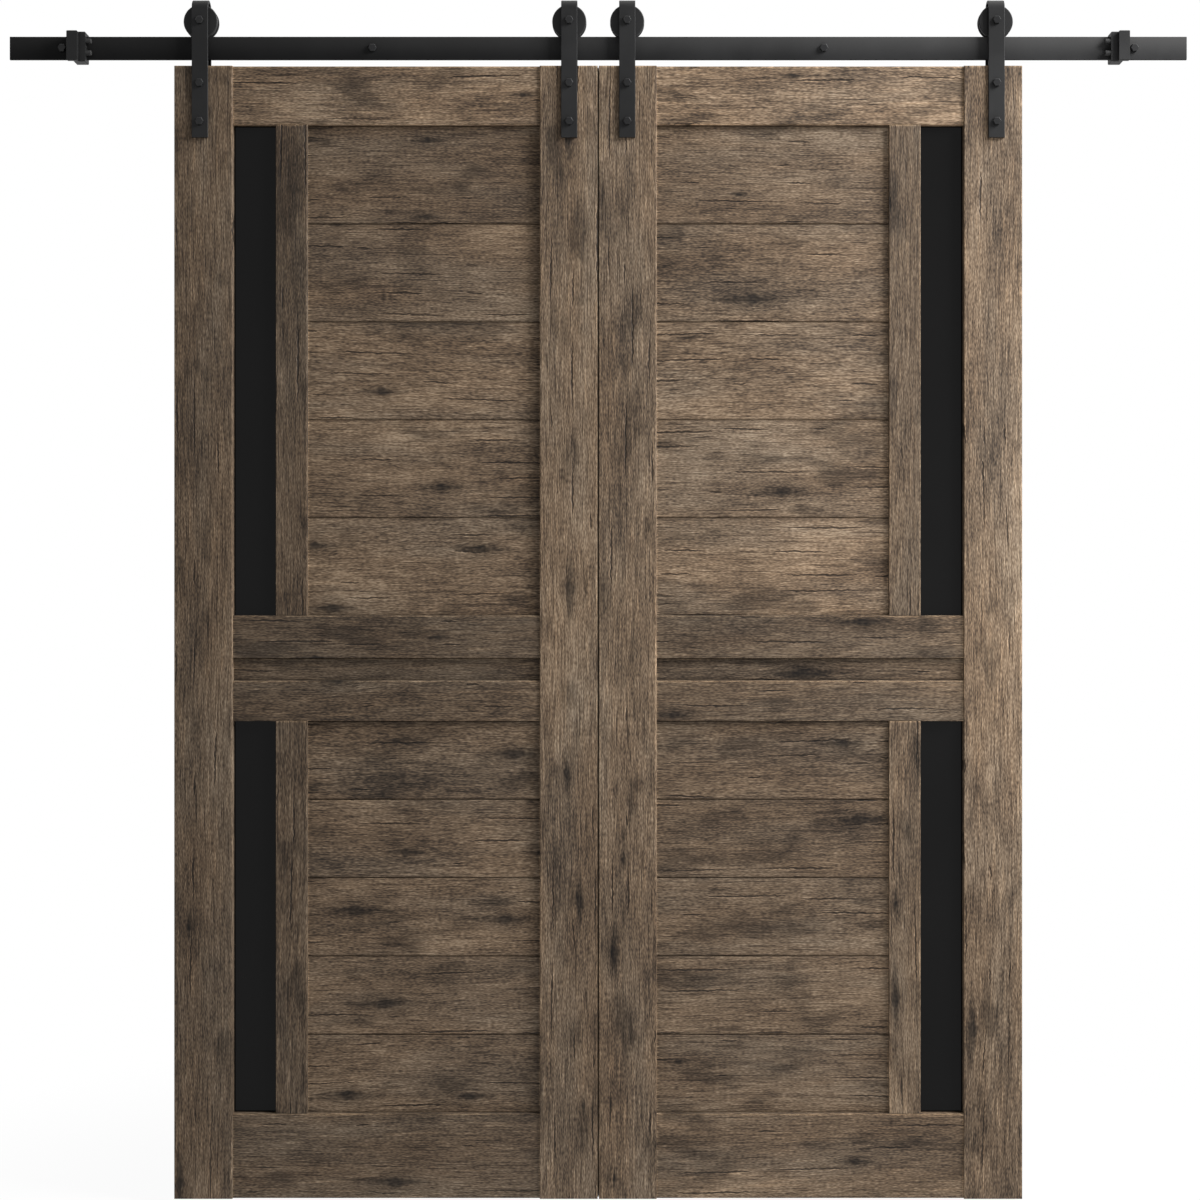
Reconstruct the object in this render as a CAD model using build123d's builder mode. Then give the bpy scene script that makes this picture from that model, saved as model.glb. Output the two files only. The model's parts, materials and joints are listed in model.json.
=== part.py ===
"""A pair of sliding barn doors hung on a flat wall rail, in millimetres.

X runs along the rail to the right, Y runs into the wall and Z is up. The origin lies on
the face of the wall, behind the middle of the rail, on the rail's centre line. Each leaf
is measured by its inset, which runs from the leaf's outer edge towards the meeting edge.
"""

import os

from build123d import *

os.makedirs("parts", exist_ok=True)

# Fits that many pieces share
overrun = 1.0  # how far a cut runs past the face that it opens
joint_clearance = 0.2  # play on each side of a tongue, or of the rail in a stop
bolt_clearance = 0.25  # radial play of a bolt in its hole
running_clearance = 0.05  # radial play of a wheel on its sleeve
side_clearance = 0.3  # play between a moving face and the face beside it

# The rail and what holds it to the wall
rail_overrun = 297.9  # beyond the outer edge of each leaf
rail_height = 41.3
rail_thickness = 6.0
rail_arris = 0.8
spacer_length = 38.5
spacer_diameter = 18.0
spacer_chamfer = 1.0
end_fixing_inset = 94.8  # from either end of the rail
inner_fixing_share = 0.3834  # of half the rail, from its middle
lag_diameter = 8.0
lag_hex_width = 13.0
lag_head_height = 5.5
lag_thread_diameter = 7.0
lag_thread_length = 26.0
lag_point = 3.0

# The leaves
leaf_width = 762.0
leaf_height = 2036.0
leaf_thickness = 40.0
leaf_gap = 0.2  # between the two meeting edges
leaf_drop = 34.0  # from the rail's centre line down to the top of a leaf
stile_width = 105.0
stile_arris = 2.0
meeting_step = 1.0  # off the front of each meeting edge, so that a shadow line shows
meeting_step_depth = 14.0
rail_board_thickness = 32.0
rail_board_arris = 1.5
top_rail_height = 105.0
upper_mid_rail_height = 77.0
mid_strip_height = 40.0
lower_mid_rail_height = 73.0
bottom_rail_height = 152.3
lower_field_height = 706.0
mullion_width = 57.0
glass_width = 77.0  # what shows between stile and mullion
glass_arris = 0.5
plank_thickness = 16.0
plank_chamfer = 1.6
plank_gap = 1.4  # between the faces of two planks
plank_tongue = 8.0
plank_count = 5
groove_width = 8.4
groove_depth = 12.0
tongue_length = 11.0
glass_engagement = 10.0

# The hangers
wheel_diameter = 61.5
wheel_width = 18.0
wheel_chamfer = 1.5
wheel_groove_depth = 5.25
wheel_groove_play = 0.75  # between the rail's side and the foot of the groove
wheel_groove_flare = 1.5
wheel_hub_diameter = 22.0
rolling_clearance = 0.3
sleeve_diameter = 12.0
strap_width = 29.0
strap_thickness = 5.0
strap_gap = 24.0  # between the two legs of the bent strap
strap_arris = 0.9
strap_crown_clearance = 3.85
strap_tail_clearance = 5.5  # between the rear leg and the top of the leaf
strap_end_margin = 28.5  # below the lower door bolt
outer_hanger_inset = 47.0  # from the outer edge of a leaf
inner_hanger_inset = 52.0  # from its meeting edge
upper_bolt_drop = 32.0  # below the top of a leaf
bolt_spacing = 69.0
bolt_diameter = 8.0
bolt_hex_width = 13.0
bolt_head_height = 5.5
hex_chamfer = 1.0
nut_height = 6.5
washer_diameter = 20.0
washer_thickness = 1.6
bolt_end = 2.0  # of the shank, past its nut

# The blocks on the leaves that keep the wheels on the rail
block_width = 16.0
block_depth = 22.0
block_clearance = 1.8  # below the rail
block_chamfer = 1.0
screw_diameter = 4.0
screw_head_diameter = 8.0
screw_head_height = 2.4
screw_length = 32.0
screw_sink = 0.4  # of the head, below the block's top

# The stops at both ends of the rail
stop_inset = 139.0  # from the rail's end to the face that the buffers stand on
stop_collar_length = 22.0
stop_height = 53.5
stop_front_wall = 12.0
stop_back_wall = 8.0
stop_boss_offset = 12.4  # from the inner face to the boss
stop_boss_length = 19.2
stop_boss_depth = 8.5
stop_chamfer = 1.2
buffer_diameter = 9.0
buffer_length = 10.0
buffer_crown = 1.5
buffer_stem_diameter = 5.0
buffer_stem_length = 8.0
buffer_spacing = 21.2
buffer_wall = 0.8  # from the front of the collar to a buffer
set_screw_diameter = 6.0
set_screw_spacing = 24.0
set_screw_socket = 3.0
set_screw_socket_depth = 3.5

# Depths, measured from the wall
rail_back = -spacer_length
rail_front = rail_back - rail_thickness
rail_mid = rail_back - rail_thickness / 2
leaf_front = rail_mid - strap_gap / 2
leaf_mid = leaf_front + leaf_thickness / 2
leaf_back = leaf_front + leaf_thickness
strap_front = leaf_front - strap_thickness
strap_rear = rail_mid + strap_gap / 2
strap_back = strap_rear + strap_thickness

# Heights, measured from the rail's centre line
wheel_radius = wheel_diameter / 2
groove_radius = wheel_radius - wheel_groove_depth
axle_z = rail_height / 2 + rolling_clearance + groove_radius
bend_radius = (strap_gap + strap_thickness) / 2
bend_z = axle_z + wheel_radius + strap_crown_clearance - strap_gap / 2
leaf_top = -leaf_drop
leaf_bottom = leaf_top - leaf_height
block_height = leaf_drop - rail_height / 2 - block_clearance
block_top = leaf_top + block_height
screw_top = block_top - screw_sink
screw_tip = screw_top - screw_length
upper_bolt_z = leaf_top - upper_bolt_drop
lower_bolt_z = upper_bolt_z - bolt_spacing
strap_bottom = lower_bolt_z - strap_end_margin
lower_field_bottom = leaf_bottom + bottom_rail_height
lower_field_top = lower_field_bottom + lower_field_height
mid_strip_bottom = lower_field_top + lower_mid_rail_height
upper_mid_rail_bottom = mid_strip_bottom + mid_strip_height
upper_field_bottom = upper_mid_rail_bottom + upper_mid_rail_height
upper_field_top = leaf_top - top_rail_height

# Lengths along the rail, and radii that follow
rail_half = leaf_gap / 2 + leaf_width + rail_overrun
rail_length = 2 * rail_half
inner_fixing_x = inner_fixing_share * rail_half
outer_fixing_x = rail_half - end_fixing_inset
stop_inner_x = rail_half - stop_inset
panel_width = leaf_width - 2 * stile_width
plank_width = panel_width - glass_width - mullion_width
tongue_thickness = groove_width - 2 * joint_clearance
bolt_radius = bolt_diameter / 2
bolt_hole_radius = bolt_radius + bolt_clearance
screw_radius = screw_diameter / 2
fixing_places = [(side * x, 0) for side in (-1, 1) for x in (inner_fixing_x, outer_fixing_x)]
SIDES = {"left": -1, "right": 1}


def save(builder, name):
    """Label a finished piece and write it."""
    builder.part.label = name
    export_step(builder.part, f"parts/{name}.step")


def save_group(builders, name):
    """Write the solids of several blocks as one group of separate pieces."""
    group = Compound([solid for builder in builders for solid in builder.part.solids()])
    group.label = name
    export_step(group, f"parts/{name}.step")


def leaf_x(side, inset):
    """The X of a line on a leaf at this inset from the leaf's outer edge."""
    return side * (leaf_gap / 2 + leaf_width - inset)


def hanger_x(side, hanger):
    """The X of a leaf's outer or inner hanger."""
    return leaf_x(side, outer_hanger_inset if hanger == "outer" else leaf_width - inner_hanger_inset)


def upright(y):
    """A plane that faces the front, at this depth."""
    return Plane.XZ.offset(-y)


# The rail: a flat bar with eased edges and a hole for each lag bolt
with BuildPart() as rail:
    with BuildSketch(Plane.YZ.offset(-rail_length / 2)):
        with Locations((rail_mid, 0)):
            RectangleRounded(rail_thickness, rail_height, rail_arris)
    extrude(amount=rail_length)
    with BuildSketch(upright(rail_front - overrun)):
        with Locations(*fixing_places):
            Circle(lag_diameter / 2 + bolt_clearance)
    extrude(amount=-(rail_thickness + 2 * overrun), mode=Mode.SUBTRACT)
save(rail, "rail")

# Turned spacers that hold the rail off the wall
with BuildPart() as spacers:
    with BuildSketch(upright(0)):
        with Locations(*fixing_places):
            Circle(spacer_diameter / 2)
    extrude(amount=spacer_length)
    end_edges = spacers.edges().filter_by(GeomType.CIRCLE).group_by(Axis.Y)
    chamfer(end_edges[0] + end_edges[-1], length=spacer_chamfer)
    with BuildSketch(upright(overrun)):
        with Locations(*fixing_places):
            Circle(lag_diameter / 2 + bolt_clearance)
    extrude(amount=spacer_length + 2 * overrun, mode=Mode.SUBTRACT)
save(spacers, "rail_spacers")

# Lag bolts: hex head on the rail, plain shank through the spacer, thread in the wall
with BuildPart() as lags:
    with BuildSketch(upright(rail_front)):
        with Locations(*fixing_places):
            RegularPolygon(lag_hex_width / 2, side_count=6, major_radius=False)
    extrude(amount=lag_head_height)
    chamfer(lags.faces().group_by(Axis.Y)[0].edges(), length=hex_chamfer)
    with BuildSketch(upright(rail_front)):
        with Locations(*fixing_places):
            Circle(lag_diameter / 2)
    extrude(amount=rail_front)
    with BuildSketch(upright(0)):
        with Locations(*fixing_places):
            Circle(lag_thread_diameter / 2)
    extrude(amount=-lag_thread_length)
    chamfer(lags.faces().group_by(Axis.Y)[-1].edges(), length=lag_point)
save(lags, "lag_bolts")


# The stops: a stepped collar round the rail, fixed from behind by set screws
def stop_places(spacing):
    """Where a stop's paired pieces sit: half the spacing above and below the centre line."""
    return [spacing / 2, -spacing / 2]


stop_front = rail_front - stop_front_wall
stop_back = rail_back + stop_back_wall
stop_depth = stop_back - stop_front
stop_mid_x = stop_inner_x + stop_collar_length / 2
buffer_y = stop_front + buffer_wall + buffer_diameter / 2
nose_x = stop_inner_x - buffer_length
set_screw_length = stop_back_wall

with BuildPart() as stops:
    with BuildSketch(Plane.XY.offset(-stop_height / 2)):
        for side in SIDES.values():
            with Locations((side * stop_mid_x, (stop_front + stop_back) / 2)):
                Rectangle(stop_collar_length, stop_depth)
            boss_x = side * (stop_inner_x + stop_boss_offset + stop_boss_length / 2)
            with Locations((boss_x, stop_front - stop_boss_depth / 2)):
                Rectangle(stop_boss_length, stop_boss_depth)
    extrude(amount=stop_height)
    chamfer(stops.faces().filter_by(Axis.Z).edges(), length=stop_chamfer)
    with BuildSketch(Plane.YZ.offset(-rail_length / 2)):
        with Locations((rail_mid, 0)):
            Rectangle(rail_thickness + 2 * joint_clearance, rail_height + 2 * joint_clearance)
    extrude(amount=rail_length, mode=Mode.SUBTRACT)
    for side in SIDES.values():
        with BuildSketch(Plane.YZ.offset(side * stop_inner_x)):
            with Locations(*[(buffer_y, z) for z in stop_places(buffer_spacing)]):
                Circle(buffer_stem_diameter / 2 + joint_clearance)
        extrude(amount=side * (buffer_stem_length + joint_clearance), mode=Mode.SUBTRACT)
    with BuildSketch(upright(stop_back + overrun)):
        for side in SIDES.values():
            with Locations(*[(side * stop_mid_x, z) for z in stop_places(set_screw_spacing)]):
                Circle(set_screw_diameter / 2 + running_clearance)
    extrude(amount=stop_back_wall + overrun, mode=Mode.SUBTRACT)
save(stops, "stop_clamps")

# Rubber buffers: a round nose on a stem that is pushed into the stop
with BuildPart() as buffers:
    for side in SIDES.values():
        with BuildSketch(Plane.YZ.offset(side * stop_inner_x)):
            with Locations(*[(buffer_y, z) for z in stop_places(buffer_spacing)]):
                Circle(buffer_diameter / 2)
        extrude(amount=-side * buffer_length)
        nose_band = sorted((side * (nose_x - overrun), side * (nose_x + overrun)))
        noses = buffers.edges().filter_by_position(Axis.X, *nose_band).filter_by(GeomType.CIRCLE)
        fillet(noses, radius=buffer_crown)
        with BuildSketch(Plane.YZ.offset(side * stop_inner_x)):
            with Locations(*[(buffer_y, z) for z in stop_places(buffer_spacing)]):
                Circle(buffer_stem_diameter / 2)
        extrude(amount=side * buffer_stem_length)
save(buffers, "stop_buffers")

with BuildPart() as set_screws:
    screw_places = [
        (side * stop_mid_x, z) for side in SIDES.values() for z in stop_places(set_screw_spacing)
    ]
    with BuildSketch(upright(stop_back)):
        with Locations(*screw_places):
            Circle(set_screw_diameter / 2)
    extrude(amount=set_screw_length)
    with BuildSketch(upright(stop_back + overrun)):
        with Locations(*screw_places):
            RegularPolygon(set_screw_socket / 2, side_count=6, major_radius=False)
    extrude(amount=set_screw_socket_depth + overrun, mode=Mode.SUBTRACT)
save(set_screws, "stop_screws")


# The pieces of a leaf
def make_stile(side, hanger):
    """A full-height post, grooved along the edge that faces the panels. The front of a
    meeting edge is stepped back, so that the two leaves close behind a dark line."""
    x_mid = leaf_x(side, stile_width / 2 if hanger == "outer" else leaf_width - stile_width / 2)
    x_groove = leaf_x(side, stile_width if hanger == "outer" else leaf_width - stile_width)
    x_hanger = hanger_x(side, hanger)
    with BuildPart() as stile:
        with BuildSketch(Plane.XY.offset(leaf_bottom)):
            with Locations((x_mid, leaf_mid)):
                RectangleRounded(stile_width, leaf_thickness, stile_arris)
            with Locations((x_groove, leaf_mid)):
                Rectangle(2 * groove_depth, groove_width, mode=Mode.SUBTRACT)
            if hanger == "inner":
                with Locations((leaf_x(side, leaf_width), leaf_front)):
                    Rectangle(2 * meeting_step, 2 * meeting_step_depth, mode=Mode.SUBTRACT)
        extrude(amount=leaf_height)
        with BuildSketch(upright(leaf_front - overrun)):
            with Locations((x_hanger, upper_bolt_z), (x_hanger, lower_bolt_z)):
                Circle(bolt_hole_radius)
        extrude(amount=-(leaf_thickness + 2 * overrun), mode=Mode.SUBTRACT)
        with BuildSketch(Plane.XY.offset(leaf_top + overrun)):
            with Locations((x_hanger, leaf_front + block_depth / 2)):
                Circle(screw_radius + running_clearance)
        extrude(amount=screw_tip - joint_clearance - leaf_top - overrun, mode=Mode.SUBTRACT)
    return stile


def make_cross_rail(side, bottom, height, grooves):
    """A rail between the stiles, tongued at both ends and grooved where panels meet it."""
    x_low = min(leaf_x(side, stile_width), leaf_x(side, leaf_width - stile_width))
    tongue_bottom = bottom + (groove_depth if "bottom" in grooves else 0)
    tongue_top = bottom + height - (groove_depth if "top" in grooves else 0)
    with BuildPart() as cross_rail:
        with BuildSketch(Plane.YZ.offset(x_low)):
            with Locations((leaf_mid, bottom + height / 2)):
                RectangleRounded(rail_board_thickness, height, rail_board_arris)
            for edge, z in (("bottom", bottom), ("top", bottom + height)):
                if edge in grooves:
                    with Locations((leaf_mid, z)):
                        Rectangle(groove_width, 2 * groove_depth, mode=Mode.SUBTRACT)
        extrude(amount=panel_width)
        with BuildSketch(Plane.YZ.offset(x_low - tongue_length)):
            with Locations((leaf_mid, (tongue_bottom + tongue_top) / 2)):
                Rectangle(tongue_thickness, tongue_top - tongue_bottom)
        extrude(amount=panel_width + 2 * tongue_length)
    return cross_rail


def make_mullion(side, bottom, top):
    """A post between two rails, with the glass in one edge and the planks in the other."""
    x_mid = leaf_x(side, stile_width + glass_width + mullion_width / 2)
    with BuildPart() as mullion:
        with BuildSketch(Plane.XY.offset(bottom)):
            with Locations((x_mid, leaf_mid)):
                RectangleRounded(mullion_width, rail_board_thickness, rail_board_arris)
            with Locations((x_mid - mullion_width / 2, leaf_mid), (x_mid + mullion_width / 2, leaf_mid)):
                Rectangle(2 * groove_depth, groove_width, mode=Mode.SUBTRACT)
        extrude(amount=top - bottom)
        with BuildSketch(Plane.XY.offset(bottom - tongue_length)):
            with Locations((x_mid, leaf_mid)):
                Rectangle(mullion_width - 2 * groove_depth, tongue_thickness)
        extrude(amount=top - bottom + 2 * tongue_length)
    return mullion


def make_glass(side, bottom, top):
    """A pane of dark glass, held on all four edges in the grooves."""
    x_mid = leaf_x(side, stile_width + glass_width / 2)
    pane_height = top - bottom + 2 * glass_engagement
    with BuildPart() as pane:
        with BuildSketch(upright(leaf_mid - tongue_thickness / 2)):
            with Locations((x_mid, (top + bottom) / 2)):
                Rectangle(glass_width + 2 * glass_engagement, pane_height)
        extrude(amount=-tongue_thickness)
        chamfer(pane.faces().filter_by(Axis.Y).edges(), length=glass_arris)
    return pane


def make_board(x_low, length, bottom, height, tongue_below, gap_above=0):
    """A thin board with a tongue on top and at both ends, and below it either a second
    tongue, for a rail, or a groove for the tongue of the next board. Its corners are
    eased, but not on a rail. A gap above lowers its face from the board over it."""
    face_height = height - gap_above
    tongue_top = bottom + height + plank_tongue
    tongue_bottom = bottom - plank_tongue if tongue_below else bottom + groove_depth
    with BuildPart() as board:
        with BuildSketch(Plane.YZ.offset(x_low)) as section:
            with Locations((leaf_mid, bottom + face_height / 2)):
                Rectangle(plank_thickness, face_height)
            corners = section.vertices().group_by(Axis.Y)[-1] if tongue_below else section.vertices()
            chamfer(corners, length=plank_chamfer)
            with Locations((leaf_mid, (tongue_top + tongue_bottom) / 2)):
                Rectangle(tongue_thickness, tongue_top - tongue_bottom)
            if not tongue_below:
                with Locations((leaf_mid, bottom)):
                    Rectangle(groove_width, 2 * groove_depth, mode=Mode.SUBTRACT)
        extrude(amount=length)
        with BuildSketch(Plane.YZ.offset(x_low - tongue_length)):
            end_bottom = bottom if tongue_below else bottom + groove_depth
            with Locations((leaf_mid, (bottom + height + end_bottom) / 2)):
                Rectangle(tongue_thickness, bottom + height - end_bottom)
        extrude(amount=length + 2 * tongue_length)
    return board


def make_plank(side, field_bottom, field_top, number):
    """One plank of a field, counted from the top."""
    height = (field_top - field_bottom) / plank_count
    bottom = field_top - number * height
    x_low = min(leaf_x(side, leaf_width - stile_width), leaf_x(side, leaf_width - stile_width - plank_width))
    gap_above = plank_gap if number > 1 else 0
    return make_board(x_low, plank_width, bottom, height, number == plank_count, gap_above)


def make_leaf(name, side):
    """All the joinery of one leaf."""
    for hanger in ("outer", "inner"):
        save(make_stile(side, hanger), f"{name}_{hanger}_stile")
    cross_rails = {
        "top_rail": (upper_field_top, top_rail_height, ("bottom",)),
        "upper_mid_rail": (upper_mid_rail_bottom, upper_mid_rail_height, ("bottom", "top")),
        "lower_mid_rail": (lower_field_top, lower_mid_rail_height, ("bottom", "top")),
        "bottom_rail": (leaf_bottom, bottom_rail_height, ("top",)),
    }
    for piece, (bottom, height, grooves) in cross_rails.items():
        save(make_cross_rail(side, bottom, height, grooves), f"{name}_{piece}")
    x_low = min(leaf_x(side, stile_width), leaf_x(side, leaf_width - stile_width))
    strip = make_board(x_low, panel_width, mid_strip_bottom, mid_strip_height, tongue_below=True)
    save(strip, f"{name}_mid_strip")
    fields = {
        "upper": (upper_field_bottom, upper_field_top),
        "lower": (lower_field_bottom, lower_field_top),
    }
    for field, (bottom, top) in fields.items():
        save(make_mullion(side, bottom, top), f"{name}_{field}_mullion")
        save(make_glass(side, bottom, top), f"{name}_{field}_glass")
        for number in range(1, plank_count + 1):
            save(make_plank(side, bottom, top, number), f"{name}_{field}_plank_{number}")


# The pieces of a hanger
def make_strap(x_mid):
    """A flat bar bent over the wheel: one leg lies on the leaf, one ends behind the rail."""
    front_leg = leaf_front - strap_thickness / 2
    rear_leg = strap_rear + strap_thickness / 2
    with BuildPart() as strap:
        with BuildLine(Plane.YZ.offset(x_mid)):
            Line((front_leg, strap_bottom), (front_leg, bend_z))
            CenterArc((rail_mid, bend_z), bend_radius, start_angle=180, arc_size=-180)
            Line((rear_leg, bend_z), (rear_leg, leaf_top + strap_tail_clearance))
        with BuildSketch(Plane.XY.offset(strap_bottom)):
            with Locations((x_mid, front_leg)):
                RectangleRounded(strap_width, strap_thickness, strap_arris)
        sweep()
        with BuildSketch(upright(strap_front - overrun)):
            with Locations((x_mid, axle_z), (x_mid, upper_bolt_z), (x_mid, lower_bolt_z)):
                Circle(bolt_hole_radius)
        extrude(amount=-(strap_back - strap_front + 2 * overrun), mode=Mode.SUBTRACT)
    return strap


def make_wheel(x_mid):
    """A turned roller: two flanges that straddle the rail, and a hub between the strap's legs."""
    half_width = wheel_width / 2
    half_hub = strap_gap / 2 - side_clearance
    half_foot = rail_thickness / 2 + wheel_groove_play
    bore_radius = sleeve_diameter / 2 + running_clearance
    front_half = [
        (-half_hub, bore_radius),
        (-half_hub, wheel_hub_diameter / 2),
        (-half_width, wheel_hub_diameter / 2),
        (-half_width, wheel_radius - wheel_chamfer),
        (wheel_chamfer - half_width, wheel_radius),
        (-half_foot - wheel_groove_flare, wheel_radius),
        (-half_foot, groove_radius),
    ]
    outline = front_half + [(-y, r) for y, r in reversed(front_half)]
    with BuildPart() as wheel:
        with BuildSketch(Plane.YZ.offset(x_mid)):
            with BuildLine():
                Polyline(*[(rail_mid + y, axle_z + r) for y, r in outline], close=True)
            make_face()
        revolve(axis=Axis((x_mid, 0, axle_z), (0, 1, 0)))
    return wheel


def make_fasteners(side):
    """A leaf's hanger hardware: bolts, nuts, washers, axle sleeves and block screws."""
    centres = [hanger_x(side, hanger) for hanger in ("outer", "inner")]
    axles = [(x, axle_z) for x in centres]
    door_bolts = [(x, z) for x in centres for z in (upper_bolt_z, lower_bolt_z)]
    nut_seats = {strap_back: axles, leaf_back + washer_thickness: door_bolts}
    with BuildPart() as bolts:
        with BuildSketch(upright(strap_front)):
            with Locations(*axles, *door_bolts):
                RegularPolygon(bolt_hex_width / 2, side_count=6, major_radius=False)
        extrude(amount=bolt_head_height)
        chamfer(bolts.faces().group_by(Axis.Y)[0].edges(), length=hex_chamfer)
        for seat, places in nut_seats.items():
            with BuildSketch(upright(strap_front)):
                with Locations(*places):
                    Circle(bolt_radius)
            extrude(amount=-(seat + nut_height + bolt_end - strap_front))
    with BuildPart() as nuts:
        for seat, places in nut_seats.items():
            with BuildSketch(upright(seat)):
                with Locations(*places):
                    RegularPolygon(bolt_hex_width / 2, side_count=6, major_radius=False)
                    Circle(bolt_radius + running_clearance, mode=Mode.SUBTRACT)
            extrude(amount=-nut_height)
    with BuildPart() as washers:
        with BuildSketch(upright(leaf_back)):
            with Locations(*door_bolts):
                Circle(washer_diameter / 2)
                Circle(bolt_hole_radius, mode=Mode.SUBTRACT)
        extrude(amount=-washer_thickness)
    with BuildPart() as sleeves:
        with BuildSketch(upright(leaf_front)):
            with Locations(*axles):
                Circle(sleeve_diameter / 2)
                Circle(bolt_hole_radius, mode=Mode.SUBTRACT)
        extrude(amount=-strap_gap)
    with BuildPart() as screws:
        for x in centres:
            with BuildSketch(Plane.XZ.offset(-(leaf_front + block_depth / 2))):
                with BuildLine():
                    Polyline(
                        (x, screw_top),
                        (x + screw_head_diameter / 2, screw_top),
                        (x + screw_radius, screw_top - screw_head_height),
                        (x + screw_radius, screw_tip),
                        (x, screw_tip),
                        close=True,
                    )
                make_face()
            revolve(axis=Axis((x, leaf_front + block_depth / 2, 0), (0, 0, 1)))
    return bolts, nuts, washers, sleeves, screws


def make_blocks(side):
    """A block on each hanger's stile, under the rail, that stops the wheel from jumping off."""
    places = [(hanger_x(side, hanger), leaf_front + block_depth / 2) for hanger in ("outer", "inner")]
    head_radius = screw_head_diameter / 2 + joint_clearance
    with BuildPart() as blocks:
        with BuildSketch(Plane.XY.offset(leaf_top)):
            with Locations(*places):
                Rectangle(block_width, block_depth)
        extrude(amount=block_height)
        chamfer(blocks.faces().group_by(Axis.Z)[-1].edges(), length=block_chamfer)
        for x, y in places:
            with BuildSketch(Plane.XZ.offset(-y)):
                with BuildLine():
                    Polyline(
                        (x, block_top + overrun),
                        (x + head_radius, block_top + overrun),
                        (x + head_radius, screw_top),
                        (x + screw_radius + joint_clearance, screw_top - screw_head_height),
                        (x + screw_radius + joint_clearance, leaf_top - overrun),
                        (x, leaf_top - overrun),
                        close=True,
                    )
                make_face()
            revolve(axis=Axis((x, y, 0), (0, 0, 1)), mode=Mode.SUBTRACT)
    return blocks


for leaf_name, leaf_side in SIDES.items():
    make_leaf(leaf_name, leaf_side)
    for hanger_name in ("outer", "inner"):
        centre = hanger_x(leaf_side, hanger_name)
        save(make_strap(centre), f"{leaf_name}_{hanger_name}_strap")
        save(make_wheel(centre), f"{leaf_name}_{hanger_name}_wheel")
    save_group(make_fasteners(leaf_side), f"{leaf_name}_hanger_fasteners")
    save(make_blocks(leaf_side), f"{leaf_name}_anti_jump_blocks")
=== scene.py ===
# %% [markdown]
# # A pair of sliding barn doors
#
# The doors are two weathered oak leaves with plank panels and slim panes of black glass. Bent
# steel straps and grooved wheels hang them from a flat black rail. The measured solids are
# loaded as a fixed frame, in metres, and this lesson gives them their finishes, a camera, light
# and a floor. The box of the bare solids is kept.

# %% Load the measured solids
import json
import math
import random

import bmesh
import bpy
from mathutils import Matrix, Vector


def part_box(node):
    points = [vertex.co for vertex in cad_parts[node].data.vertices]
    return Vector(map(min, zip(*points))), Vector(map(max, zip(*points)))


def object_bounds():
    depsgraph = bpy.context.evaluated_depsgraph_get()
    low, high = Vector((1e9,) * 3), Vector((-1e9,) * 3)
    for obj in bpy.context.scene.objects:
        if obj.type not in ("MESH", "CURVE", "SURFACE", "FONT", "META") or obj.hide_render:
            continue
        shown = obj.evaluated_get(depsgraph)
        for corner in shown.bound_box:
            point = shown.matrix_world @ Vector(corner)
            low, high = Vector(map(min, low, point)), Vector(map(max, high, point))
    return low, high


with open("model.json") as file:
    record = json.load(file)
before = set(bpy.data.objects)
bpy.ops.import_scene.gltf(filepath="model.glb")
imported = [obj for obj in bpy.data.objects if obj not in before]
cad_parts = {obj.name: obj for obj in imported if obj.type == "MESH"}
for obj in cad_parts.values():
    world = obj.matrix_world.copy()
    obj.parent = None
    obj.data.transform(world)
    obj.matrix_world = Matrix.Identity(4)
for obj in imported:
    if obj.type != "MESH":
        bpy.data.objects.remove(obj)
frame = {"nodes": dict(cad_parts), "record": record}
cad_box = [list(corner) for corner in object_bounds()]
doors = frame["nodes"]
print("loaded", len(doors), "pieces, box", cad_box)

# %% [markdown]
# ## Small helpers for shader nodes
#
# The light and every finish below are built from nodes, with no picture behind them. Wiring nodes
# one by one takes many lines, so `put` makes a node, sets it and links it in one call. A value that
# is itself a socket is linked, anything else is written in. The other helpers are short names for
# what comes up often: arithmetic, soft steps, mixed colours, and noise that is stretched.


# %% Make the node helpers
def put(tree, kind, values=None, **settings):
    """Add a node, set its options, and link or write its inputs."""
    made = tree.nodes.new(kind)
    for option, value in settings.items():
        setattr(made, option, value)
    for key, value in (values or {}).items():
        if isinstance(value, bpy.types.NodeSocket):
            tree.links.new(value, made.inputs[key])
        else:
            made.inputs[key].default_value = value
    return made


def calc(tree, operation, *values):
    """One step of arithmetic on numbers."""
    return put(tree, "ShaderNodeMath", dict(enumerate(values)), operation=operation).outputs[0]


def shift(tree, operation, *vectors):
    """One step of arithmetic on vectors."""
    inputs = dict(enumerate(vectors))
    return put(tree, "ShaderNodeVectorMath", inputs, operation=operation).outputs[0]


def scale(tree, vector, factor):
    """A vector or colour times a number."""
    inputs = {0: vector, "Scale": factor}
    return put(tree, "ShaderNodeVectorMath", inputs, operation="SCALE").outputs[0]


def fade(tree, value, start, end, low=0.0, high=1.0):
    """Smoothly go from low to high while the value goes from start to end."""
    bounds = {0: value, 1: start, 2: end, 3: low, 4: high}
    return put(tree, "ShaderNodeMapRange", bounds, interpolation_type="SMOOTHSTEP").outputs[0]


def blend(tree, amount, below, above, way="MIX"):
    """Lay one colour over another."""
    inputs = {0: amount, 6: below, 7: above}
    return put(tree, "ShaderNodeMix", inputs, data_type="RGBA", blend_type=way).outputs[2]


def cloud(tree, place, stretch, detail=3.0, roughness=0.55):
    """Noise stretched by a factor per axis, in features per metre."""
    scaled = shift(tree, "MULTIPLY", place, stretch)
    inputs = {"Vector": scaled, "Scale": 1.0, "Detail": detail, "Roughness": roughness}
    return put(tree, "ShaderNodeTexNoise", inputs).outputs[0]


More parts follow.
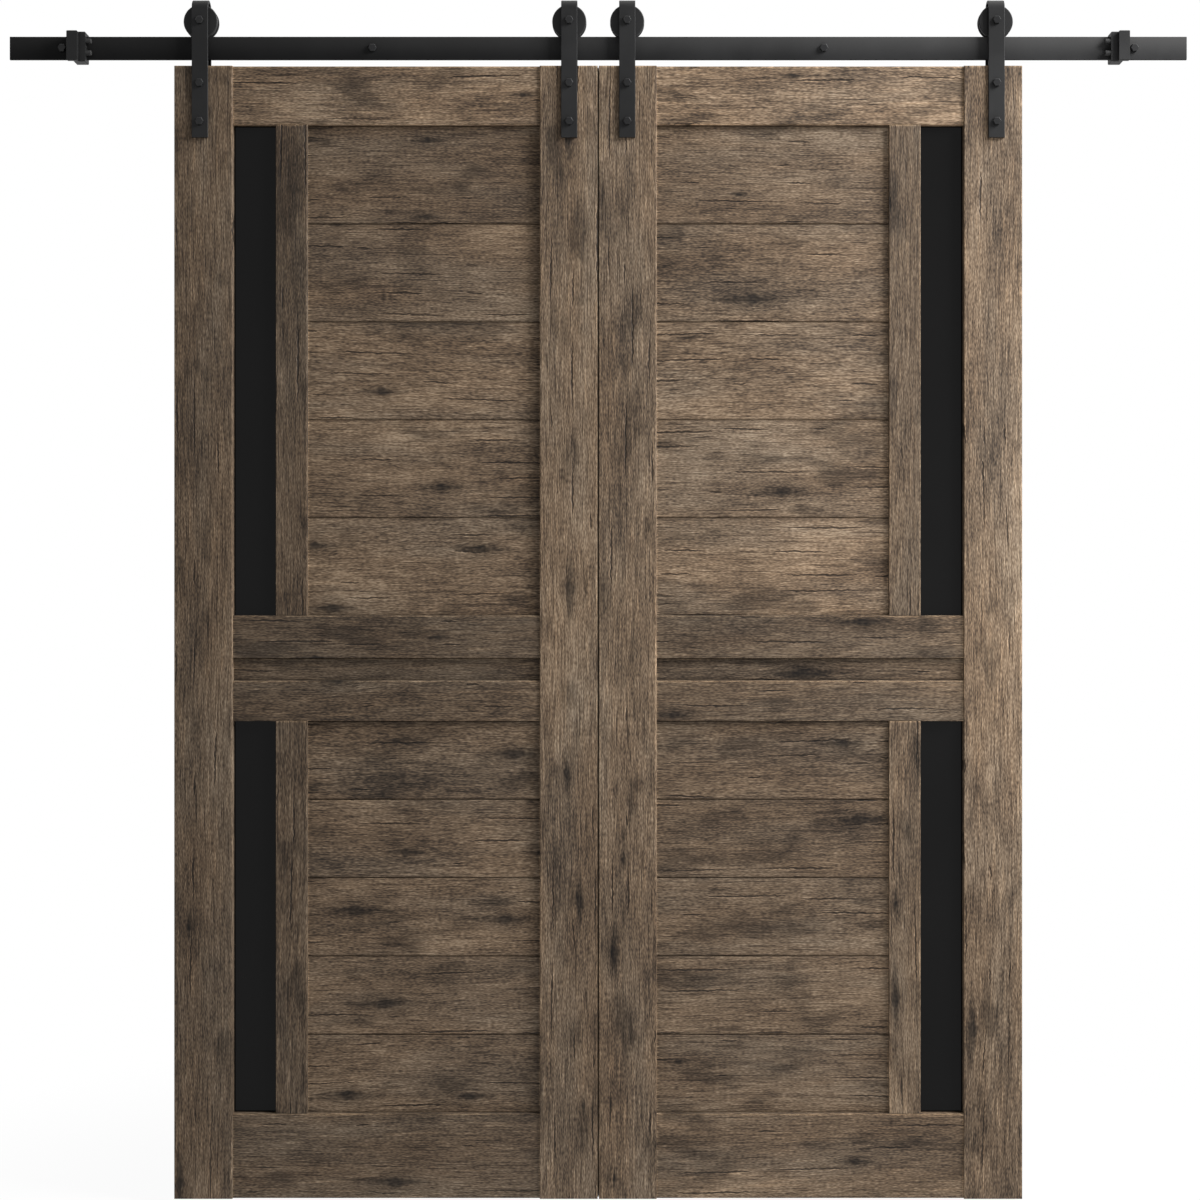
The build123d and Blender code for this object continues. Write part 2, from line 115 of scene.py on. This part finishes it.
def waver(tree, noise, reach):
    """Turn noise into a swing about zero, over a reach."""
    return calc(tree, "MULTIPLY", calc(tree, "SUBTRACT", noise, 0.5), reach)


def seen_directly(tree):
    """One for rays from the camera or a mirror-like surface, zero for rays that carry light."""
    rays = put(tree, "ShaderNodeLightPath").outputs
    mirrored = calc(tree, "MAXIMUM", rays["Is Glossy Ray"], rays["Is Transmission Ray"])
    return calc(tree, "MAXIMUM", rays["Is Camera Ray"], mirrored)


def new_finish(name):
    """An empty material with its shader, its output and the object's own coordinates."""
    material = bpy.data.materials.new(name)
    material.use_nodes = True
    tree = material.node_tree
    tree.nodes.clear()
    shader = put(tree, "ShaderNodeBsdfPrincipled")
    put(tree, "ShaderNodeOutputMaterial", {"Surface": shader.outputs[0]})
    place = put(tree, "ShaderNodeTexCoord").outputs["Object"]
    return material, tree, shader, place


def dress(name, material):
    """Give a measured piece its finish."""
    piece = doors[name]
    if not piece.material_slots:
        piece.data.materials.append(material)
    for pocket in piece.material_slots:
        pocket.material = material


print("helpers ready for", len(doors), "pieces")

# %% [markdown]
# ## The camera
#
# The photograph looks straight at the doors from a few metres away, with no tilt. A camera could
# be aimed at an empty, but a level camera needs only a place, a lens and a quarter turn about X.
# The distance comes from how far the straps, which stand in front of the leaves, are shifted.
# A side step of 32 mm, undone by the lens shift, keeps the white background out of the narrow
# joint between the leaves.

# %% Place the camera
scene = bpy.context.scene
leaf_front_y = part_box("left_outer_stile")[0].y
view_distance = 3.6
view_width = 2.156
middle_x, middle_z = 0.0032, -0.994
side_step = 0.032
sensor_width = 36.0

lens = bpy.data.cameras.new("front_camera")
lens.sensor_width = sensor_width
lens.lens = sensor_width * view_distance / view_width
lens.clip_end = 100.0
camera = bpy.data.objects.new("front_camera", lens)
camera.location = (middle_x + side_step, leaf_front_y - view_distance, middle_z)
lens.shift_x = -side_step / view_width
camera.rotation_euler = (math.radians(90), 0, 0)
scene.collection.objects.link(camera)
bpy.context.scene.camera = camera
print("camera at", list(camera.location), "with a lens of", round(lens.lens, 1), "mm")

# %% [markdown]
# ## Studio light
#
# The right side of the doors is brighter than the left, right-hand and upper arrises shine, and
# wide soft shadows fall to the left and downwards. A big soft box high on the right, close to the
# plane of the doors, does that. A weak one in front of the right leaf keeps its boards bright. It
# is kept out of the reflections, because the glass would show it as a pale square. A pale world
# fills the shadows. To the camera and to mirror-like surfaces that world is plain white.

# %% Hang the lamps and set the world
scene.view_settings.view_transform = "Standard"


def hang_lamp(name, place, aim, size, power):
    """A square soft box at a place, turned to face a point of the doors."""
    lamp = bpy.data.lights.new(name, "AREA")
    lamp.shape = "SQUARE"
    lamp.size = size
    lamp.energy = power
    holder = bpy.data.objects.new(name, lamp)
    holder.location = place
    holder.rotation_euler = (Vector(aim) - Vector(place)).to_track_quat("-Z", "Y").to_euler()
    scene.collection.objects.link(holder)
    return holder


hang_lamp("key_soft_box", place=(2.76, -1.06, 1.32), aim=(0, 0, -1.0), size=1.45, power=284)
front_box = hang_lamp(
    "front_soft_box", place=(0.86, -0.77, -1.02), aim=(0.2, 0, -1.0), size=1.0, power=9)
front_box.visible_glossy = False
front_box.visible_camera = False

world = bpy.data.worlds.new("studio")
world.use_nodes = True
scene.world = world
sky = world.node_tree
sky.nodes.clear()
fill_light = {"Color": (0.96, 0.98, 1.0, 1), "Strength": 0.255}
fill = put(sky, "ShaderNodeBackground", fill_light).outputs[0]
white = put(sky, "ShaderNodeBackground", {"Color": (1, 1, 1, 1), "Strength": 1.0}).outputs[0]
either = put(sky, "ShaderNodeMixShader", {0: seen_directly(sky), 1: fill, 2: white}).outputs[0]
put(sky, "ShaderNodeOutputWorld", {"Surface": either})

# %% [markdown]
# ## The weathered oak
#
# The boards are old oak, sanded but not painted: grey-brown, with tan and dark fibres, short
# pores, hairline cracks, small knots and smoky stains. A photograph could be wrapped round each
# board, but noise that is stretched along the grain works on any board at any distance. It is
# built once, as a node group that takes a place on the board (along the grain, across it and
# through it, in metres), so that every board can send its own place and has its own pattern.

# %% Start the oak group with knots
oak = bpy.data.node_groups.new("weathered_oak", "ShaderNodeTree")
oak.interface.new_socket("Place", in_out="INPUT", socket_type="NodeSocketVector")
oak.interface.new_socket("Tone", in_out="INPUT", socket_type="NodeSocketFloat")
oak.interface.new_socket("Rub", in_out="INPUT", socket_type="NodeSocketFloat")
oak.interface.new_socket("Color", in_out="OUTPUT", socket_type="NodeSocketColor")
oak.interface.new_socket("Roughness", in_out="OUTPUT", socket_type="NodeSocketFloat")
oak.interface.new_socket("Height", in_out="OUTPUT", socket_type="NodeSocketFloat")
board = oak.nodes.new("NodeGroupInput")
place = board.outputs["Place"]


def scatter(spot, density):
    """Scatter marks over a board: how far the nearest lies along and across, and three dice."""
    cells = shift(oak, "MULTIPLY", spot, density)
    inputs = {"Vector": cells, "Scale": 1.0, "Randomness": 0.7}
    nearest = put(oak, "ShaderNodeTexVoronoi", inputs, voronoi_dimensions="2D")
    gap = shift(oak, "DIVIDE", shift(oak, "SUBTRACT", cells, nearest.outputs["Position"]), density)
    gap = put(oak, "ShaderNodeSeparateXYZ", {0: gap}).outputs
    dice = put(oak, "ShaderNodeSeparateColor", {0: nearest.outputs["Color"]}).outputs
    return gap[0], gap[1], dice


def oval(along, across, stretch, radius):
    """Distance from a mark in radii, on an oval drawn out along the grain."""
    along_squared = calc(oak, "POWER", calc(oak, "DIVIDE", along, stretch), 2.0)
    across_squared = calc(oak, "POWER", across, 2.0)
    reach = calc(oak, "SQRT", calc(oak, "ADD", along_squared, across_squared))
    return calc(oak, "DIVIDE", reach, radius)


knot_density = (3.6, 8.0, 1.0)
knot_along, knot_across, knot_dice = scatter(place, knot_density)
knot_radius = fade(oak, knot_dice[0], 0.0, 1.0, 0.0032, 0.0100)
knot_there = fade(oak, knot_dice[1], 0.44, 0.50)
ragged = waver(oak, cloud(oak, place, (70.0, 150.0, 150.0), 2.0), 1.1)


def knot_mark(stretch, outer, inner):
    """A dark oval of the knot, with a ragged rim."""
    reach = calc(oak, "ADD", oval(knot_along, knot_across, stretch, knot_radius), ragged)
    return calc(oak, "MULTIPLY", fade(oak, reach, outer, inner), knot_there)


knot_core = knot_mark(2.0, 1.35, 0.55)
knot_tail = knot_mark(9.0, 1.1, 0.1)
knot_smudge = knot_mark(2.6, 3.4, 0.3)
print("knots: one in about", round(2 / (knot_density[0] * knot_density[1]), 2), "square metres")

# %% [markdown]
# The grain lines of a real board wander, and they bend round each knot. Here the place is pushed
# sideways a little, by slow noise and by the nearest knot, before any fibre is drawn on it.

# %% Bend the grain
sway = waver(oak, cloud(oak, place, (0.9, 3.0, 3.0), 1.0), 0.045)
ripple = waver(oak, cloud(oak, place, (6.0, 22.0, 22.0), 1.0), 0.0040)
swerve = calc(oak, "MULTIPLY", calc(oak, "MULTIPLY", knot_across, knot_smudge), -0.6)
push = calc(oak, "ADD", calc(oak, "ADD", sway, ripple), swerve)
bent = shift(oak, "ADD", place, put(oak, "ShaderNodeCombineXYZ", {1: push}).outputs[0])

fibre_stretch = (40.0, 600.0, 600.0)
line_stretch = (13.0, 330.0, 330.0)
band_stretch = (1.8, 30.0, 30.0)
fibres = cloud(oak, bent, fibre_stretch, 2.0, 0.7)
grains = cloud(oak, bent, (150.0, 640.0, 640.0), 0.0)
lines = cloud(oak, bent, line_stretch, 1.0)
bands = cloud(oak, bent, band_stretch, 3.0, 0.65)
patches = cloud(oak, place, (8.0, 20.0, 20.0), 6.0, 0.66)
broad = cloud(oak, place, (1.6, 6.0, 6.0), 2.0, 0.6)
stains = cloud(oak, shift(oak, "ADD", place, (3.1, 7.7, 1.3)), (7.0, 17.0, 17.0), 4.0, 0.6)
warmth = cloud(oak, bent, (2.6, 14.0, 14.0), 2.0, 0.5)
year_rings = calc(oak, "SINE", calc(oak, "MULTIPLY", cloud(oak, bent, (0.7, 6.0, 6.0), 1.0), 150.0))
spacing = [round(1000 / stretch[1], 1) for stretch in (band_stretch, line_stretch, fibre_stretch)]
print("grain: bands, lines and fibres are", spacing, "mm apart")

# %% [markdown]
# Colour follows the fibres: a ramp runs from dark late wood to pale worn wood. Warm and grey
# areas alternate, then the stains, year rings, pores, knots and cracks darken it. Cracks are
# scattered like the knots: each is a thin jagged line along the bent grain that tapers to both
# ends, with pale lips.

# %% Colour the oak
weights = (
    (broad, 0.75), (patches, 0.95), (bands, 0.30),
    (lines, 0.22), (fibres, 1.20), (grains, 0.90),
)
tone = 0.5
for layer, weight in weights:
    tone = calc(oak, "ADD", waver(oak, layer, weight), tone)
ramp = put(oak, "ShaderNodeValToRGB", {0: tone})
shades = (
    (0.00, (0.018, 0.012, 0.008)),
    (0.25, (0.054, 0.036, 0.023)),
    (0.50, (0.104, 0.069, 0.042)),
    (0.75, (0.166, 0.116, 0.074)),
    (1.00, (0.250, 0.184, 0.123)),
)
while len(ramp.color_ramp.elements) < len(shades):
    ramp.color_ramp.elements.new(0.5)
for stop, (at, shade) in zip(ramp.color_ramp.elements, shades):
    stop.position = at
    stop.color = (*shade, 1)
grey_share = fade(oak, warmth, 0.38, 0.68, 0.0, 0.6)
wood = blend(oak, grey_share, ramp.outputs[0], (0.90, 0.99, 1.10, 1), "MULTIPLY")

smoke = fade(oak, stains, 0.52, 0.68, 0.0, 0.80)
smoke = calc(oak, "MAXIMUM", smoke, calc(oak, "MULTIPLY", knot_smudge, 0.62))
wood = blend(oak, smoke, wood, (0.38, 0.37, 0.36, 1), "MULTIPLY")
ring_there = fade(oak, patches, 0.46, 0.62, 0.0, 0.40)
late_wood = calc(oak, "MULTIPLY", fade(oak, year_rings, 0.70, 0.96), ring_there)
wood = blend(oak, late_wood, wood, (0.45, 0.42, 0.40, 1), "MULTIPLY")
pores = fade(oak, lines, 0.38, 0.34, 0.0, 0.65)
wood = blend(oak, pores, wood, (0.38, 0.35, 0.32, 1), "MULTIPLY")
flecks = fade(oak, lines, 0.62, 0.66, 0.0, 0.70)
flecks = calc(oak, "MULTIPLY", flecks, fade(oak, board.outputs["Rub"], 0.0, 1.0, 0.45, 1.0))
wood = blend(oak, flecks, wood, (1.50, 1.47, 1.42, 1), "MULTIPLY")

crack_along, crack_across, crack_dice = scatter(bent, (5.2, 26.0, 1.0))
jag = waver(oak, cloud(oak, place, (75.0, 75.0, 75.0), 2.0), 0.006)
crack_half = fade(oak, crack_dice[0], 0.0, 1.0, 0.014, 0.090)
taper = fade(oak, calc(oak, "DIVIDE", calc(oak, "ABSOLUTE", crack_along), crack_half), 1.0, 0.2)
crack_drawn = fade(oak, crack_dice[1], 0.42, 0.46)
crack_there = calc(oak, "MULTIPLY", crack_drawn, fade(oak, taper, 0.0, 0.35))
crack_width = calc(oak, "ADD", calc(oak, "MULTIPLY", taper, 0.0010), 0.0006)
crack_off = calc(oak, "ABSOLUTE", calc(oak, "ADD", crack_across, jag))
crack_gap = calc(oak, "DIVIDE", crack_off, crack_width)
cracks = calc(oak, "MULTIPLY", fade(oak, crack_gap, 1.4, 0.5), crack_there)
lips = calc(oak, "MULTIPLY", fade(oak, crack_gap, 3.2, 1.4), crack_there)
wood = blend(oak, calc(oak, "MULTIPLY", lips, 0.5), wood, (1.5, 1.46, 1.42, 1), "MULTIPLY")
dark_marks = calc(oak, "MULTIPLY", cracks, 0.95)
for mark, strength in ((knot_tail, 0.7), (knot_core, 0.85)):
    dark_marks = calc(oak, "MAXIMUM", dark_marks, calc(oak, "MULTIPLY", mark, strength))
wood = blend(oak, dark_marks, wood, (0.14, 0.13, 0.12, 1), "MULTIPLY")
print("oak ramp:", len(shades), "shades from", len(weights), "layers of noise")

# %% [markdown]
# The upright and upper arrises of the boards are painted pale: partly wear from hands and years,
# partly painted highlight where light catches them. The lower arrises get painted shade, and the
# joints between the planks, which get no rub, get grime and painted shade. The Bevel node rounds
# the surface's normal near an edge, so the way it leans from the true normal tells which edge is
# near: it leans a little near an edge and a lot right at it. A little noise breaks the pale line
# up. The group ends with roughness and height, for the sheen and the bump.

# %% Paint wear, highlight and shade on the arrises, and close the group
arris_reach = 0.0056
near_edge = (0.05, 0.30)
at_edge = (0.34, 0.60)
true_normal = put(oak, "ShaderNodeNewGeometry").outputs["Normal"]
round_normal = put(oak, "ShaderNodeBevel", {"Radius": arris_reach}, samples=4).outputs[0]
turned_by = shift(oak, "SUBTRACT", round_normal, true_normal)
lean = put(oak, "ShaderNodeSeparateXYZ", {0: turned_by}).outputs
# The upright and upper arrises are painted pale: wear, and painted highlight.
top_arris = calc(oak, "MULTIPLY", fade(oak, lean[2], *near_edge), board.outputs["Rub"])
upright_arris = fade(oak, calc(oak, "ABSOLUTE", lean[0]), *at_edge)
arris = calc(oak, "MAXIMUM", upright_arris, top_arris)
# Painted shade under the lower arrises, and grime with painted shade in the plank joints.
unrubbed = fade(oak, board.outputs["Rub"], 0.0, 1.0, 1.0, 0.0)
joint = calc(oak, "MULTIPLY", fade(oak, calc(oak, "ABSOLUTE", lean[2]), *at_edge), unrubbed)
shaded_under_edge = fade(oak, lean[2], -near_edge[0], -near_edge[1], 0.0, 0.3)
grime_and_shade = calc(oak, "MAXIMUM", shaded_under_edge, joint)
rubbed = fade(oak, cloud(oak, place, (24.0, 60.0, 60.0), 2.0), 0.36, 0.60, 0.65, 1.0)
worn_and_lit = calc(oak, "MULTIPLY", arris, rubbed)
wood = blend(oak, worn_and_lit, wood, (2.7, 2.65, 2.5, 1), "MULTIPLY")
wood = blend(oak, grime_and_shade, wood, (0.42, 0.41, 0.40, 1), "MULTIPLY")
wood = scale(oak, wood, board.outputs["Tone"])

sheen = fade(oak, tone, 0.2, 0.8, 0.80, 0.60)
relief = calc(oak, "ADD", calc(oak, "MULTIPLY", lines, 0.6), calc(oak, "MULTIPLY", fibres, 0.6))
relief = calc(oak, "SUBTRACT", relief, calc(oak, "MULTIPLY", cracks, 1.2))
relief = calc(oak, "SUBTRACT", relief, calc(oak, "MULTIPLY", pores, 0.5))
put(oak, "NodeGroupOutput", {"Color": wood, "Roughness": sheen, "Height": relief})
print("oak group:", len(oak.nodes), "nodes")

# %% [markdown]
# Each board gets a material of its own that only turns the grain and picks a place in the
# endless pattern. Stiles and mullions stand upright, so their grain runs along Z. Rails, strips
# and planks lie across, so theirs runs along X. Each board's listed tone is partly the wood's own
# and partly painted light and shade. The two inner stiles get painted shade in the narrow step
# where the leaves meet, at X = 0. Under each middle rail the photograph has a deeper shadow than
# these lamps cast, so the finish itself paints a shadow on the boards there over a centimetre.

# %% Dress the boards
draw = random.Random(41)
upright_words = ("stile", "mullion")
level_words = ("top_rail", "mid_rail", "bottom_rail", "mid_strip", "plank")
# Each board's tone is partly the wood's own and partly painted light and shade.
board_tones_and_light = {
    "left_outer_stile": 0.84, "right_inner_stile": 1.02, "right_outer_stile": 1.05,
    "left_upper_plank": 1.06, "right_upper_plank": 1.09,
    "left_lower_plank": 1.00, "right_lower_plank": 0.86,
    "left_top_rail": 1.37, "right_top_rail": 1.50,
    "left_bottom_rail": 0.77, "right_bottom_rail": 0.96,
    "upper_mid_rail": 0.60, "mid_strip": 0.63,
    "left_lower_mid_rail": 0.75, "right_lower_mid_rail": 0.61,
    "left_upper_mullion": 0.62, "left_lower_mullion": 0.65,
    "right_upper_mullion": 0.62, "right_lower_mullion": 0.75,
}
grain_steps = {"left_inner_stile": -0.9}
corner_rails = {"_mid_strip": "_upper_mid_rail", "_lower_plank_1": "_lower_mid_rail"}
shade_reach, full_shade = 0.013, 0.002
step_depth = 0.014
step_shade_edge = (0.0012, 0.0034)


def board_finish(name, upright):
    """Oak with this board's own grain direction and its own cut of the pattern."""
    material, tree, shader, spot = new_finish("oak_" + name)
    axes = put(tree, "ShaderNodeSeparateXYZ", {0: spot}).outputs
    order = (axes[2], axes[0], axes[1]) if upright else (axes[0], axes[2], axes[1])
    turned = put(tree, "ShaderNodeCombineXYZ", dict(enumerate(order))).outputs[0]
    cut = tuple(draw.uniform(0, 40) for _ in range(3))
    cut = (cut[0] + grain_steps.get(name, 0.0), *cut[1:])
    own_tone_and_light = next((tone for word, tone in board_tones_and_light.items() if word in name), 1.0)
    tint = draw.uniform(0.95, 1.05) * own_tone_and_light
    look = put(tree, "ShaderNodeGroup", node_tree=oak)
    tree.links.new(shift(tree, "ADD", turned, cut), look.inputs["Place"])
    look.inputs["Tone"].default_value = tint
    look.inputs["Rub"].default_value = 0.0 if "plank" in name else 1.0
    rail_above = next((rail for word, rail in corner_rails.items() if name.endswith(word)), None)
    # Painted shadow on the boards just under the middle rail above.
    if rail_above:
        corner_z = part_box(name.split("_")[0] + rail_above)[0].z
        lit_share = fade(tree, axes[2], corner_z - shade_reach, corner_z - full_shade, 1.0, 0.56)
        tree.links.new(calc(tree, "MULTIPLY", lit_share, tint), look.inputs["Tone"])
    # Painted shade in the meeting step of the inner stiles, where the leaves meet.
    if "inner_stile" in name:
        step_y = leaf_front_y + step_depth
        in_step = fade(tree, axes[1], step_y - 0.0005, step_y + 0.001, 0.6, 0.0)
        from_joint = calc(tree, "ABSOLUTE", axes[0])
        step_shade = calc(tree, "MULTIPLY", fade(tree, from_joint, *step_shade_edge, 1.0, 0.0), in_step)
        lit_share = calc(tree, "SUBTRACT", 1.0, step_shade)
        tree.links.new(calc(tree, "MULTIPLY", lit_share, tint), look.inputs["Tone"])
    relief = {"Height": look.outputs["Height"], "Strength": 0.6, "Distance": 0.0012}
    bump = put(tree, "ShaderNodeBump", relief)
    tree.links.new(look.outputs["Color"], shader.inputs["Base Color"])
    tree.links.new(look.outputs["Roughness"], shader.inputs["Roughness"])
    tree.links.new(bump.outputs[0], shader.inputs["Normal"])
    shader.inputs["Specular IOR Level"].default_value = 0.25
    return material


boards = 0
for name in sorted(doors):
    upright = any(word in name for word in upright_words)
    if upright or any(word in name for word in level_words):
        dress(name, board_finish(name, upright))
        boards += 1
print("dressed", boards, "boards")

# %% [markdown]
# ## Black powder coat
#
# Rail, straps, wheels, stops and bolts are steel with a matt black powder coat. The powder melts
# into a very fine orange peel, so the coat scatters light softly: a dark base with a broad, weak
# shine. Slow noise gives a trace of pale dust, faces that look up are painted paler as dust and
# painted light, and edges are rubbed a little. The tall face of the rail gets painted light towards
# its upper edge, and the photograph shows it paler towards the right than these lamps make it, so
# it gets a finish of its own that paints that light in.


# %% Make the powder coat
def powder_coat(name, shade, gloss, peel, shine, painted_light=0.0):
    """A matt black coat: dark base, broad weak shine, fine peel, dust, painted light, rubbed edges.
    """
    material, tree, shader, spot = new_finish(name)
    dust = cloud(tree, spot, (7.0, 7.0, 7.0), 4.0, 0.6)
    grit = cloud(tree, spot, (380.0, 380.0, 380.0), 2.0, 0.5)
    normal = put(tree, "ShaderNodeNewGeometry").outputs["Normal"]
    softened = put(tree, "ShaderNodeBevel", {"Radius": 0.0012}, samples=4).outputs[0]
    turn = put(tree, "ShaderNodeVectorMath", {0: normal, 1: softened}, operation="DOT_PRODUCT")
    edge = fade(tree, turn.outputs["Value"], 0.99, 0.82)
    rub = calc(tree, "MULTIPLY", edge, fade(tree, dust, 0.4, 0.65))
    paler = tuple(1.5 * part for part in shade)
    base = blend(tree, fade(tree, dust, 0.35, 0.75), (*shade, 1), (*paler, 1))
    base = blend(tree, calc(tree, "MULTIPLY", rub, 0.6), base, (0.060, 0.058, 0.056, 1))
    look_up = put(tree, "ShaderNodeSeparateXYZ", {0: normal}).outputs[2]
    # Faces that look up are painted paler: dust and painted light.
    dust_and_top_light = fade(tree, look_up, 0.1, 0.9, 0.0, 0.55)
    # Painted light towards the rail's upper edge.
    if painted_light:
        height = put(tree, "ShaderNodeSeparateXYZ", {0: spot}).outputs[2]
        dust_and_top_light = calc(tree, "MAXIMUM", dust_and_top_light, fade(tree, height, -0.022, 0.024, 0.0, painted_light))
    base = blend(tree, dust_and_top_light, base, (0.060, 0.059, 0.058, 1))
    # Painted light towards the rail's right end.
    if painted_light:
        along = put(tree, "ShaderNodeSeparateXYZ", {0: spot}).outputs[0]
        base = scale(tree, base, fade(tree, along, -1.0, 1.05, 0.64, 1.85))
    tree.links.new(base, shader.inputs["Base Color"])
    uneven = calc(tree, "ADD", waver(tree, dust, 0.25), gloss)
    tree.links.new(uneven, shader.inputs["Roughness"])
    bump = put(tree, "ShaderNodeBump", {"Height": grit, "Strength": peel, "Distance": 0.0003})
    tree.links.new(bump.outputs[0], shader.inputs["Normal"])
    shader.inputs["Specular IOR Level"].default_value = shine
    return material


rail_coat = powder_coat("rail_powder_coat", (0.0090, 0.0090, 0.0092), 0.54, 0.25, 0.04, painted_light=0.30)
bar_coat = powder_coat("bar_powder_coat", (0.0125, 0.0125, 0.0127), 0.48, 0.25, 0.12)
bolt_coat = powder_coat("bolt_black_oxide", (0.0060, 0.0060, 0.0064), 0.36, 0.12, 0.24)
bolt_words = ("lag_bolts", "fasteners", "stop_screws")
steel = 0
for name in sorted(doors):
    slot = next(s["material_slot"] for s in frame["record"]["subparts"] if s["node"] == name)
    if slot == "black_steel":
        coat = bolt_coat if any(word in name for word in bolt_words) else bar_coat
        dress(name, rail_coat if name == "rail" else coat)
        steel += 1
print("dressed", steel, "steel pieces")

# %% [markdown]
# ## Black glass and rubber
#
# The slim panes are black glass: almost no colour of their own, and a clear mirror shine with a
# very faint unevenness. The four buffers of the end stops are matt black rubber, slightly grey
# where they have been knocked.

# %% Make the glass and the rubber
glass, tree, shader, spot = new_finish("black_glass")
film = cloud(tree, spot, (5.0, 5.0, 3.0), 3.0, 0.5)
blacks = (0.0019, 0.0018, 0.0018, 1), (0.0043, 0.0042, 0.0042, 1)
tree.links.new(blend(tree, film, *blacks), shader.inputs["Base Color"])
tree.links.new(fade(tree, film, 0.2, 0.8, 0.03, 0.09), shader.inputs["Roughness"])
shader.inputs["Specular IOR Level"].default_value = 0.12

rubber, tree, shader, spot = new_finish("buffer_rubber")
scuff = cloud(tree, spot, (160.0, 160.0, 160.0), 3.0, 0.6)
greys = (0.008, 0.008, 0.008, 1), (0.018, 0.017, 0.017, 1)
tree.links.new(blend(tree, fade(tree, scuff, 0.4, 0.7), *greys), shader.inputs["Base Color"])
tree.links.new(fade(tree, scuff, 0.3, 0.7, 0.7, 0.9), shader.inputs["Roughness"])
bump = put(tree, "ShaderNodeBump", {"Height": scuff, "Strength": 0.3, "Distance": 0.0003})
tree.links.new(bump.outputs[0], shader.inputs["Normal"])

panes = [name for name in sorted(doors) if name.endswith("_glass")]
for name in panes:
    dress(name, glass)
dress("stop_buffers", rubber)
print("dressed", len(panes), "panes and the buffers")

# %% [markdown]
# ## The floor
#
# The leaves hang a centimetre above a plain pale floor. A grid of one face is enough. The camera
# sees it nearly white, with a share of its real shading left in, so that the shadow stays.

# %% Lay the floor
hanging_gap = 0.010
floor_z = cad_box[0][2] - hanging_gap
plan = bmesh.new()
bmesh.ops.create_grid(plan, x_segments=1, y_segments=1, size=8.0)
bmesh.ops.translate(plan, verts=plan.verts, vec=(0, 0, floor_z))
floor_mesh = bpy.data.meshes.new("floor")
plan.to_mesh(floor_mesh)
plan.free()
floor = bpy.data.objects.new("floor", floor_mesh)
scene.collection.objects.link(floor)

paint = bpy.data.materials.new("pale_floor")
paint.use_nodes = True
tree = paint.node_tree
tree.nodes.clear()
spot = put(tree, "ShaderNodeTexCoord").outputs["Object"]
from_middle = put(tree, "ShaderNodeVectorMath", {0: spot}, operation="LENGTH").outputs["Value"]
white_share = fade(tree, from_middle, 2.2, 2.6, 0.95, 1.0)
seen_share = calc(tree, "MULTIPLY", seen_directly(tree), white_share)
matt = put(tree, "ShaderNodeBsdfDiffuse", {"Color": (0.82, 0.82, 0.82, 1)}).outputs[0]
glow = put(tree, "ShaderNodeEmission", {"Color": (1, 1, 1, 1), "Strength": 1.0}).outputs[0]
floor_mix = put(tree, "ShaderNodeMixShader", {0: seen_share, 1: matt, 2: glow}).outputs[0]
put(tree, "ShaderNodeOutputMaterial", {"Surface": floor_mix})
floor_mesh.materials.append(paint)
print("floor at", round(floor_z, 4))
